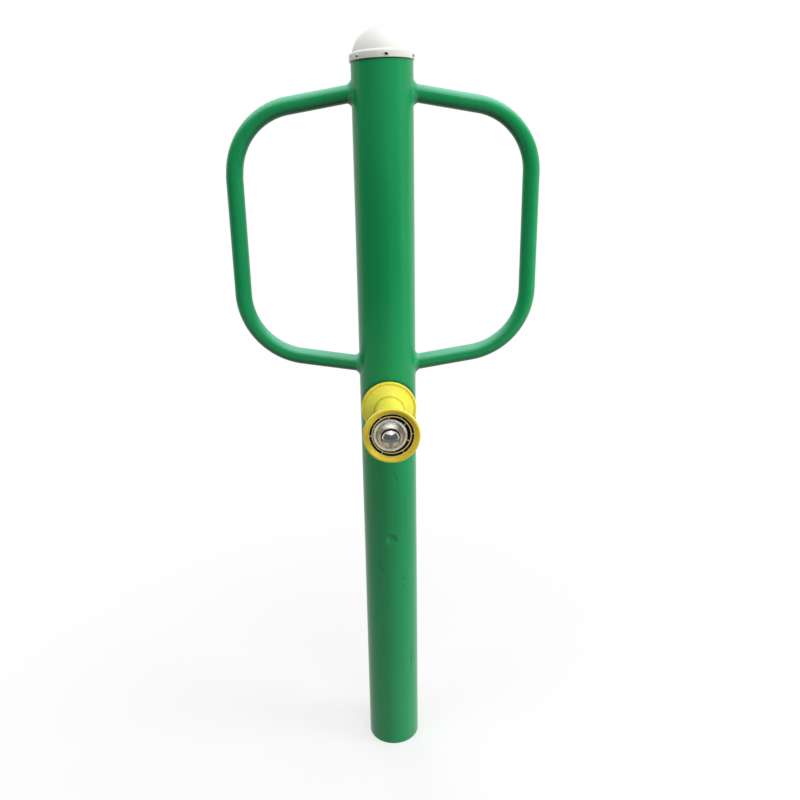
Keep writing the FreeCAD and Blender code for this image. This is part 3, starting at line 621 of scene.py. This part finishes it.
def straight_run(start, finish, count):
    """The stations between two places, without either end."""
    direction = (finish - start).normalized()
    return [(start.lerp(finish, step / count), direction, 0.0) for step in range(1, count)]


def arms(side):
    """The upper and the lower arm of a handle: where it would cross the post's axis, and its way out."""
    return [(Vector((0, 0, height)), Vector((side * math.cos(slope), 0, math.sin(slope))))
            for height, slope in ((UPPER_ARM, -UPPER_SLOPE), (LOWER_ARM, LOWER_SLOPE))]


def handle_stations(side, radius, kink, straight):
    """Every station of a loop handle, from upper to lower root: (place, direction, bend share)."""
    (upper, out_high), (lower, out_low) = arms(side)
    down = Vector((0, 0, -1))
    high_corner = upper + out_high * HANDLE_REACH / math.cos(UPPER_SLOPE)
    low_corner = lower + out_low * HANDLE_REACH / math.cos(LOWER_SLOPE)
    quarter, inside = math.pi / 2, 0.9
    first = bend(high_corner, out_high, down, quarter - UPPER_SLOPE, radius, kink, straight)
    second = bend(low_corner, down, -out_low, quarter - LOWER_SLOPE, LOWER_BEND_RADIUS)
    roots = [upper + out_high * POST_RADIUS * inside, lower + out_low * POST_RADIUS * inside]
    path = [(roots[0], out_high, 0.0)] + straight_run(roots[0], first[0][0], 12) + first
    path += straight_run(first[-1][0], second[0][0], 24) + second
    return path + straight_run(second[-1][0], roots[1], 12) + [(roots[1], -out_low, 0.0)]


def onto_post(point, direction, radius):
    """Slides a point along a direction until it is a radius away from the post's axis."""
    a = direction.x**2 + direction.y**2
    b = point.x * direction.x + point.y * direction.y
    c = point.x**2 + point.y**2 - radius**2
    return point + direction * ((-b + math.sqrt(b * b - a * c)) / a)


def make_handle(name, node, side, radius, kink=0.0, straight=0.0):
    """A bent tube, a little oval in its bends, cut to a saddle where it meets the post. The radius is
    the upper bend's."""
    columns, flatter, wider, wave = 64, 0.022, 0.014, 0.10 * MM
    stations = handle_stations(side, radius, kink, straight)
    last = len(stations) - 1
    rows = []
    skins = ((TUBE_RADIUS, range(last + 1)), (TUBE_RADIUS - TUBE_WALL, range(last, -1, -1)))
    for tube_radius, order in skins:
        for number in order:
            place, direction, bent = stations[number]
            inward = Vector((-direction.z, 0, direction.x))
            row = []
            for column in range(columns):
                angle = 2 * math.pi * column / columns
                ripple = wave * noise.noise(Vector((place.x, place.z, angle)) * 14)
                across = math.cos(angle) * (tube_radius * (1 - flatter * bent) + ripple)
                deep = math.sin(angle) * (tube_radius * (1 + wider * bent) + ripple)
                point = place + inward * across + Vector((0, deep, 0))
                if number in (0, last):
                    away = direction if number == 0 else -direction
                    point = onto_post(point, away, POST_RADIUS + ROOT_GAP)
                row.append(point)
            rows.append(row)
    points = [tuple(point) for row in rows for point in row]
    piece = new_mesh(name, points, grid_faces(len(rows), columns), [green])
    add_piece(piece, "green_paint", "stand", node)


def bead_points(start, direction, rod_radius, leg, seed):
    """A concave, slightly lumpy fillet weld where a rod leaves the post. Rows run round the rod."""
    across = Vector((0, 0, 1)).cross(direction).normalized()
    up = direction.cross(across)
    columns, profile, scale_length, swelling, lumpy = 144, 9, 3.4 * MM, 0.40 * MM, 0.075
    # The shares of leg and rod that stay hidden, and a small turn that finds the foot's direction
    sunk, core, ahead = 0.02, 0.985, 0.02
    draw = random.Random(seed)
    waves = [(order, draw.uniform(0, 2 * math.pi), draw.uniform(0.3, 1.0)) for order in (2, 3, 5, 9)]
    rows = [[] for _ in range(profile + 2)]
    for column in range(columns):
        turn = 2 * math.pi * column / columns
        rim, next_rim = [(across * math.cos(angle) + up * math.sin(angle)) * rod_radius
                         for angle in (turn, turn + ahead)]
        foot = onto_post(start + rim, direction, POST_RADIUS)
        foot_ahead = onto_post(start + next_rim, direction, POST_RADIUS)
        along = flat(foot_ahead) - flat(foot)
        outward = Vector((along.y, -along.x)).normalized()
        centre = flat(onto_post(start, direction, POST_RADIUS))
        if outward.dot(flat(foot) - centre) < 0:
            outward = -outward
        lump = sum(size * math.sin(order * turn + phase) for order, phase, size in waves)
        reach = leg * (1 + lumpy * lump)
        scale = 0.5 + 0.5 * math.sin(turn * rod_radius * 2 * math.pi / scale_length + lump)
        for step in range(profile):
            theta = math.pi / 2 * step / (profile - 1)
            rise, spread = 1 - math.sin(theta), 1 - math.cos(theta)
            if step == 0:
                rise, spread = 1.0, -sunk
            if step == profile - 1:
                rise, spread = -sunk, 1.0
            swell = swelling * scale * math.sin(2 * theta)
            point = onto_post(start + rim, direction, POST_RADIUS + rise * reach + swell)
            rows[step].append(around_post(point, outward * (spread * reach + swell)))
        for row, radius in ((profile, POST_RADIUS - 0.2 * MM), (profile + 1, POST_RADIUS + reach * 0.9)):
            rows[row].append(onto_post(start + rim * core, direction, radius))
    return rows, columns


def flat(point):
    """The post's surface unrolled: distance round it, and height."""
    return Vector((math.atan2(point.x, -point.y) * POST_RADIUS, point.z))


def around_post(point, offset):
    """Moves a point round the post and up it by an offset measured on the unrolled surface."""
    turned = Matrix.Rotation(offset.x / POST_RADIUS, 3, "Z") @ point
    return turned + Vector((0, 0, offset.y))


def make_beads(name, node, starts, rod_radius, leg):
    """The weld beads of one node, as one piece. A start is a place on the axis and a direction."""
    parts = []
    for seed, (place, direction) in enumerate(starts):
        rows, columns = bead_points(place, direction, rod_radius, leg, seed + len(name))
        points = [tuple(point) for row in rows for point in row]
        parts.append(new_mesh("part", points, grid_faces(len(rows), columns), [green_bead]))
    add_piece(join(name, parts, sharp_angle=70), "green_paint", "stand", node)


def make_welds():
    """Beads at both roots of each handle, and round the axle at the front and the back of the post."""
    handle_leg, axle_leg = 9.0 * MM, 4.3 * MM
    for word, side in (("left", -1), ("right", 1)):
        make_beads(f"{word}_weld_beads", f"{word}_handle_welds", arms(side), TUBE_RADIUS, handle_leg)
    for word, side in (("front", -1), ("rear", 1)):
        start = (Vector((0, 0, AXLE_HEIGHT)), Vector((0, side, 0)))
        make_beads(f"axle_{word}_bead", f"axle_{word}_weld", (start,), AXLE_RADIUS, axle_leg)


def tilt_cap(piece):
    """Turns the cap a little askew, about the middle of its dome."""
    middle = Vector((0, 0, DOME_CENTRE))
    turned = Matrix.Rotation(-CAP_TILT, 4, "Y") @ Matrix.Rotation(CAP_NOD, 4, "X")
    piece.data.transform(Matrix.Translation(middle) @ turned @ Matrix.Translation(-middle))
    return piece


def make_cap():
    """Collar, bevel and dome, with soft moulded edges. The inside follows at the wall's thickness."""
    wall, clearance = 2.5 * MM, 0.15 * MM
    dome_radius = DOME_TOP - DOME_CENTRE
    inside_radius = dome_radius - wall
    bevel_top = COLLAR_BOTTOM + 15.5 * MM
    bore = POST_RADIUS + clearance
    step_radius = math.sqrt(inside_radius**2 - (POST_TOP - DOME_CENTRE)**2)
    start = math.asin((bevel_top - DOME_CENTRE) / dome_radius)
    lower = [
        (bore, COLLAR_BOTTOM, 0.4 * MM),
        (COLLAR_RADIUS, COLLAR_BOTTOM, 0.8 * MM),
        (COLLAR_RADIUS, COLLAR_BOTTOM + 11.5 * MM, 1.2 * MM),
        (dome_radius * math.cos(start), bevel_top, 1.0 * MM),
    ]

    def arc(radius, turns):
        return [(max(radius * math.cos(turn), 0), DOME_CENTRE + radius * math.sin(turn), 0)
                for turn in turns]

    outside = arc(dome_radius, [start + (math.pi / 2 - start) * step / 40 for step in range(1, 41)])
    begin = math.acos(step_radius / inside_radius)
    inside = arc(inside_radius, [math.pi / 2 + (begin - math.pi / 2) * step / 24 for step in range(25)])
    outline = rounded(lower + outside + inside + [(bore, POST_TOP, 0)])
    piece = lathe("cap_dome", outline, [white])
    add_piece(tilt_cap(piece), "white_cap", "stand", "dome_cap")


def make_rivets():
    """Blind rivets: a flat dome with a soft edge, and a dark eye where the mandrel broke off."""
    inside = POST_RADIUS - POST_WALL
    seat, rise = COLLAR_RADIUS, 1.4 * MM
    head, eye, shank, tail = 4.2 * MM, 2.2 * MM, 2.4 * MM, 3.5 * MM
    outline = rounded([
        (0, inside - tail, 0), (tail, inside - tail / 2, 0.6 * MM), (shank, inside, 0),
        (shank, seat, 0), (head, seat - 0.1 * MM, 0), (head, seat + 0.5 * MM, 0.35 * MM),
        (eye + 0.9 * MM, seat + rise, 0.9 * MM), (eye, seat + rise - 0.1 * MM, 0.2 * MM),
        (eye, seat + rise - 1.3 * MM, 0), (0, seat + rise - 1.1 * MM, 0),
    ])
    # The eye's rows take the dark finish: painted shade in the hole where the mandrel broke off
    first_eye_row = len(outline) - 3
    rivets = []
    for azimuth in RIVET_AZIMUTHS:
        rivet = lathe("part", outline, [aluminium, grease_and_shade], 36, lambda row: int(row >= first_eye_row))
        turned = Matrix.Rotation(math.radians(azimuth), 4, "Z") @ Matrix.Rotation(math.pi / 2, 4, "X")
        rivet.data.transform(Matrix.Translation((0, 0, RIVET_HEIGHT)) @ turned)
        rivets.append(rivet)
    piece = tilt_cap(join("cap_rivet_heads", rivets))
    add_piece(piece, "rivet_aluminium", "stand", "cap_rivets")


def flange(rim):
    """One end of the roller from waist to bearing: (radius, depth behind the rim's face, rounding)."""
    return [
        (28.5, 24.6, 0.3), (28.0, 24.0, 0.4), (28.0, 22.0, 0.4), (28.9, 21.3, 0.3),
        (rim - 4.0, 7.5, 0.5), (rim - 3.6, 8.5, 0.35), (rim, 8.5, 2.4), (rim, 0.0, 2.3),
        (rim - 4.2, 0.0, 1.4), (42.2, 3.9, 0.3), (41.8, 3.6, 0.3), (40.9, 4.1, 0.3), (40.5, 5.0, 0.3),
        (40.4, 8.0, 0.2), (29.6, 16.2, 0.3), (23.52, 16.2, 0.3), (23.52, 33.0, 0), (20.5, 33.0, 0),
    ]


def make_spool():
    """The yellow roller: rounded rims, conical flanks, a straight waist and hollow end faces."""
    front, rear = -FRONT_FACE / MM, -REAR_FACE / MM
    corners = [(across, front - depth, rounding) for across, depth, rounding in flange(FRONT_RIM)]
    corners += [(across, rear + depth, rounding) for across, depth, rounding in flange(REAR_RIM)[::-1]]
    outline = in_metres(rounded(corners, 6))
    half = len(outline) // 2
    front_rim = max(range(half), key=lambda row: outline[row][0])
    rear_rim = max(range(half, len(outline)), key=lambda row: outline[row][0])

    def kind(row):
        """Grease and painted shade darken the recesses: the outline between the two rims, inside and
        behind their edges.
        """
        (near, low), (far, high) = outline[row], outline[(row + 1) % len(outline)]
        place = (low + high) / 2
        depth = min(-FRONT_FACE - place, place + REAR_FACE)
        return int(front_rim < row < rear_rim and max(near, far) < 40.6 * MM and depth > 5.2 * MM)

    piece = lathe("yellow_roller", outline, [yellow, grease_and_shade], segments=224, face_material=kind)
    add_piece(lay_on_axle(piece, 0), "yellow_plastic", "roller", "roller_spool")


def make_insert(name, node, face, outward):
    """Hub, thin ring and ribs in a recess of the roller. Only the ring's front and the ribs keep their
    plastic colour; the rest takes grease and painted shade.
    """
    hub = [(20.5, -19.0, 0), (23.4, -19.0, 0), (23.4, -16.2, 0), (29.3, -16.2, 0.3), (29.3, -9.5, 0.5),
           (20.5, -9.5, 0.4)]
    ring = [(34.3, -9.8, 0.3), (36.6, -9.8, 0.3), (36.6, -6.0, 0.7), (34.3, -6.0, 0.7)]
    parts = [ring_part(hub, 0.0), ring_part(ring, -7.0 * MM)]
    for first, low, high, inner, outer in ((38, -12.0, -8.0, 28.8, 34.8), (2, -7.9, -6.4, 36.1, 40.4)):
        for number in range(6):
            azimuth = math.radians(first + 60 * number)
            parts.append(make_rib(azimuth, inner * MM, outer * MM, low * MM, high * MM))
    add_piece(lay_on_axle(join(name, parts), face, outward), "yellow_plastic", "roller", node)


def ring_part(corners, dark_below):
    """A ring of the insert from corners in millimetres. What reaches below the given height takes the
    dark finish of grease and painted shade.
    """
    outline = in_metres(rounded(corners, 6))

    def kind(row):
        return int(min(outline[row][1], outline[(row + 1) % len(outline)][1]) < dark_below)

    return lathe("part", outline, [tan_ring, grease_and_shade], face_material=kind)


def make_rib(azimuth, inner, outer, low, high):
    """A small rib with a rounded top, from one radius to another."""
    half, top = 0.75 * MM, 0.35 * MM
    section = [(-half, low), (half, low), (half, high - top), (half - top, high), (top - half, high),
               (-half, high - top)]
    points = [(distance, across, height) for distance in (inner, outer) for across, height in section]
    count = len(section)
    faces = [tuple(range(count - 1, -1, -1)), tuple(range(count, 2 * count))]
    for side in range(count):
        following = (side + 1) % count
        faces.append((side, following, following + count, side + count))
    rib = new_mesh("part", points, faces, [tan_ring, grease_and_shade], sharp_angle=50)
    rib.data.transform(Matrix.Rotation(azimuth, 4, "Z"))
    return rib


def join(name, parts, sharp_angle=35):
    """One piece from several meshes that share their materials."""
    points, faces, kinds = [], [], []
    for part in parts:
        base = len(points)
        points += [tuple(vertex.co) for vertex in part.data.vertices]
        for polygon in part.data.polygons:
            faces.append(tuple(base + index for index in polygon.vertices))
            kinds.append(polygon.material_index)
        materials = list(part.data.materials)
        bpy.data.objects.remove(part)
    return new_mesh(name, points, faces, materials, kinds, sharp_angle)


def crown(low, high, radius, bulge):
    """Points on the short arc between two (radius, height) places, on one side (1) or the other (-1)."""
    steps = 14
    half = (high - low) / 2
    side = Vector((-half.y, half.x)).normalized() * bulge
    centre = low + half + side * math.sqrt(radius**2 - half.length_squared)
    start, turn = low - centre, (low - centre).angle_signed(high - centre)
    return [centre + Matrix.Rotation(-turn * step / steps, 2) @ start for step in range(1, steps)]


def make_cover():
    """The polished cover: a flat lip, a pressed step and a crown that rises to the nut."""
    lip, front, thick, crown_radius = -6.5, 6.0, 1.5, 22.0
    radius, step_radius, nut_radius, bore = 30.8, 26.0, 18.0, 10.05
    outer = rounded([(radius, lip, 0.4), (radius, lip + thick, 0.5), (step_radius, lip + thick, 0.5),
                     (step_radius, lip + thick + 0.9, 0.4), (nut_radius, front, 0.0), (bore, front, 0.0),
                     (bore, front - thick, 0.0), (nut_radius - thick, front - thick, 0.0),
                     (step_radius - thick, lip + 1.4, 0.0), (step_radius - thick, lip, 0.0)], 6)
    outline = []
    for index, point in enumerate(outer):
        outline.append(point)
        following = outer[(index + 1) % len(outer)]
        slanted = abs(point.x - following.x) > 4 and abs(point.y - following.y) > 4
        if slanted:
            outline += crown(point, following, crown_radius, 1 if following.y > point.y else -1)
    piece = lathe("polished_cover", in_metres(outline), [chrome], segments=200)
    lay_on_axle(piece, FRONT_FACE).data.transform(Matrix.Translation(OFF_CENTRE))
    add_piece(piece, "bright_steel", "stand", "cover_washer")


def make_nut():
    """The smooth dome nut, with a blind hole for the thread."""
    rim, base, dome, bore, depth = 18.0, 3.0, 15.0, 10.1, 13.0
    ball = (rim**2 + dome**2) / (2 * dome)
    first = math.acos(rim / ball)
    turns = [first + (math.pi / 2 - first) * step / 36 for step in range(1, 36)]
    top = [(ball * math.cos(turn), base + dome - ball + ball * math.sin(turn)) for turn in turns]
    lower = rounded([(bore, 0, 0.2), (rim - 0.8, 0, 0.3), (rim, 0.8, 0.3), (rim, base, 1.2)])
    outline = lower + top + [(0, base + dome), (0, depth), (bore, depth)]

    def kind(row):
        """Grease and painted shade darken the nut's lower edge, where it meets the cover."""
        return int(max(outline[row][1], outline[(row + 1) % len(outline)][1]) < base + 2.6)

    piece = lathe("polished_dome_nut", in_metres(outline), [nut_chrome, grease_and_shade], face_material=kind)
    lay_on_axle(piece, FRONT_FACE - 6 * MM).data.transform(Matrix.Translation(OFF_CENTRE))
    add_piece(piece, "bright_steel", "stand", "dome_nut")


CAD_FINISHES = {
    "axle": steel, "bearing_spacer": steel, "cover_spacer": steel,
    "inner_ring": steel, "outer_ring": steel, "balls": steel, "cage": cage_steel, "seals": rubber,
}


def dress_cad_nodes():
    """Gives every CAD node that stays in view the finish of its kind."""
    for node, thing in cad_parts.items():
        kind = next((word for word in CAD_FINISHES if node.endswith(word)), None)
        if kind:
            thing.data.materials.clear()
            thing.data.materials.append(CAD_FINISHES[kind])


def light_path_share(tree):
    """1 where the camera, gloss or clear material sees the surface, and 0 for the light that it gives."""
    path = add_node(tree, "ShaderNodeLightPath").outputs
    seen = path["Is Camera Ray"]
    for ray in ("Is Glossy Ray", "Is Transmission Ray"):
        either = add_node(tree, "ShaderNodeMath", {0: path[ray], 1: seen}, operation="MAXIMUM")
        seen = either.outputs[0]
    return seen


def make_floor():
    """A plain pale floor. Seen by the camera or in gloss it is white, with a soft shadow on it."""
    half = 9.0
    corners = [(-half, -half, 0), (half, -half, 0), (half, half, 0), (-half, half, 0)]
    paint = Finish("floor_white", (0.5, 0.5, 0.5), Roughness=0.9, Specular_IOR_Level=0.0)
    seen = light_path_share(paint.tree)
    paint.set_surface("Base Color", paint.mix(seen, (0.10, 0.10, 0.10), (0.90, 0.90, 0.90)))
    near = paint.vector_math("LENGTH", paint.place, output="Value")
    white_share = paint.math("MULTIPLY", seen, paint.ramp(near, 0.25, 1.3, 0.60, 1.0))
    glow = paint.add("ShaderNodeEmission", {"Color": (1, 1, 1, 1), "Strength": 1.0})
    mixed = {0: white_share, 1: paint.surface.outputs[0], 2: glow.outputs[0]}
    blend = paint.add("ShaderNodeMixShader", mixed)
    output = next(node for node in paint.tree.nodes if node.type == "OUTPUT_MATERIAL")
    paint.tree.links.new(blend.outputs[0], output.inputs["Surface"])
    floor = new_mesh("floor", corners, [(0, 1, 2, 3)], [paint.material])


def make_world():
    """White where it is seen. The light that it gives is brighter from above and from the right."""
    world = bpy.data.worlds.new("studio")
    bpy.context.scene.world = world
    world.use_nodes = True
    tree = world.node_tree
    brightest = Vector((0.40, -0.10, 0.91)).normalized()
    place = add_node(tree, "ShaderNodeTexCoord").outputs["Generated"]
    lean = add_node(tree, "ShaderNodeVectorMath", {0: place, 1: brightest}, operation="DOT_PRODUCT")
    levels = {"Value": lean.outputs["Value"], "From Min": -0.6, "To Min": 0.07, "To Max": 0.74}
    level = add_node(tree, "ShaderNodeMapRange", levels).outputs["Result"]
    strength = add_node(tree, "ShaderNodeMix", {0: light_path_share(tree), 2: level, 3: 1.0})
    background = tree.nodes["Background"].inputs
    background["Color"].default_value = (1, 1, 1, 1)
    tree.links.new(strength.outputs[0], background["Strength"])


def add_softbox(name, place, aim, size, power, colour=(1, 1, 1), in_gloss=False):
    """A rectangular lamp that looks at a point."""
    light = bpy.data.lights.new(name, "AREA")
    light.shape = "RECTANGLE"
    light.size, light.size_y = size
    light.energy = power
    light.color = colour
    box = bpy.data.objects.new(name, light)
    bpy.context.scene.collection.objects.link(box)
    box.location = place
    box.rotation_euler = (Vector(aim) - Vector(place)).to_track_quat("-Z", "Y").to_euler()
    box.visible_glossy = in_gloss


def make_card():
    """A dark card round the front of the studio. Only gloss shows it, which draws bright metal."""
    radius, foot, top, crest, steps = 2.0, 0.50, 3.0, 0.6, 48
    points = []
    for step in range(steps + 1):
        turn = math.radians(-90 + 180 * step / steps)
        for level in (foot, top + crest * math.cos(turn)**4):
            points.append((radius * math.sin(turn), -radius * math.cos(turn), level))
    faces = [(2 * step, 2 * step + 2, 2 * step + 3, 2 * step + 1) for step in range(steps)]
    card = Finish("card_dark", (0.0, 0.0, 0.0), Roughness=1.0, Specular_IOR_Level=0.0,
                  Emission_Color=(0.110, 0.122, 0.108, 1), Emission_Strength=1.0)
    piece = new_mesh("studio_card", points, faces, [card.material])
    piece.visible_camera = piece.visible_diffuse = False
    piece.visible_shadow = piece.visible_transmission = False


def make_lights():
    """Only the lights from above show in gloss, so the upright surfaces keep their own colour."""
    add_softbox("sky_softbox", (0.2, 0.3, 3.5), (0, -0.1, 0.9), (1.0, 1.0), 5, in_gloss=True)
    add_softbox("key_softbox", (0.5, -1.7, 3.5), (0, 0, 0.9), (1.6, 1.6), 27, in_gloss=True)
    add_softbox("right_softbox", (2.8, -0.75, 1.05), (0, 0, 0.5), (1.2, 2.0), 56, (1.0, 0.99, 0.97))
    add_softbox("left_fill", (-1.5, -0.9, 3.4), (0, 0, 1.0), (1.2, 1.2), 14)
    add_softbox("back_fill", (-0.9, 3.0, 2.2), (0, 0, 0.8), (1.4, 1.4), 16)


def make_camera():
    """The photograph's own camera."""
    camera = bpy.data.objects.new("camera", bpy.data.cameras.new("camera"))
    bpy.context.scene.collection.objects.link(camera)
    camera.data.lens, camera.data.sensor_width = FOCAL_LENGTH, SENSOR_WIDTH
    pitch, yaw, roll = (math.radians(angle) for angle in (CAMERA_PITCH, CAMERA_YAW, CAMERA_ROLL))
    turned = Matrix.Rotation(-yaw, 4, "Z") @ Matrix.Rotation(math.pi / 2 - pitch, 4, "X")
    camera.matrix_world = Matrix.Translation(CAMERA_PLACE) @ turned @ Matrix.Rotation(roll, 4, "Z")
    bpy.context.scene.camera = camera


make_post()
make_handle("left_loop", "left_handle", -1, 125 * MM, kink=math.radians(6), straight=14 * MM)
make_handle("right_loop", "right_handle", 1, 124 * MM)
make_welds()
make_cap()
make_rivets()
make_spool()
make_insert("front_insert", "front_insert_ring", FRONT_FACE, 1)
make_insert("rear_insert", "rear_insert_ring", REAR_FACE, -1)
make_cover()
make_nut()
dress_cad_nodes()
make_floor()
make_world()
make_card()
make_lights()
make_camera()
bpy.context.scene.view_settings.view_transform = "Standard"
